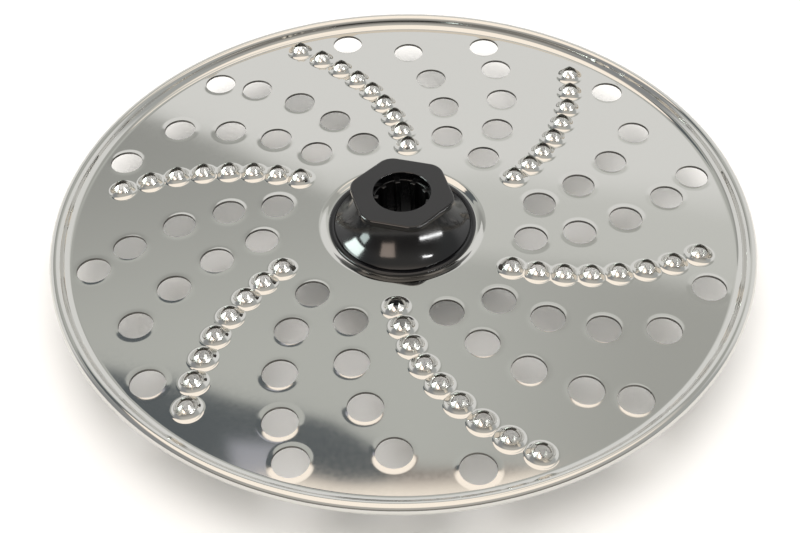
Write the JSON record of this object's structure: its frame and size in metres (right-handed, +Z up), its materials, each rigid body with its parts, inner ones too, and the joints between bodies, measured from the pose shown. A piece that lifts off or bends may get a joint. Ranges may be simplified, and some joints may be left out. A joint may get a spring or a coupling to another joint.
{
  "type": "food processor grating disc",
  "caption": "Round stainless grating disc with curved rows of crown teeth, plain holes and a rolled rim, on a black hub with a splined spindle bore.",
  "frame": {"origin": "on the spindle axis, at the table under the hub's foot", "axes": "+Z up along the spindle axis, from the hub's foot to its hexagonal collar; the first row of teeth leaves the axis 12.7 degrees from +X"},
  "size_m": [0.177, 0.177, 0.0245],
  "materials": {
    "pressed_stainless_steel": "bright annealed, nearly mirror-like",
    "hub_plastic": "moulded gloss black",
    "ring_plastic": "moulded gloss black",
    "sleeve_plastic": "moulded satin black",
    "screw_steel": "plain steel"
  },
  "bodies": {
    "root": {"grating_disc": "pressed_stainless_steel", "upper_hub": "hub_plastic", "seat_ring": "ring_plastic", "drive_sleeve": "sleeve_plastic", "lower_hub": "hub_plastic", "hub_screws": "screw_steel"}
  },
  "joints": []
}
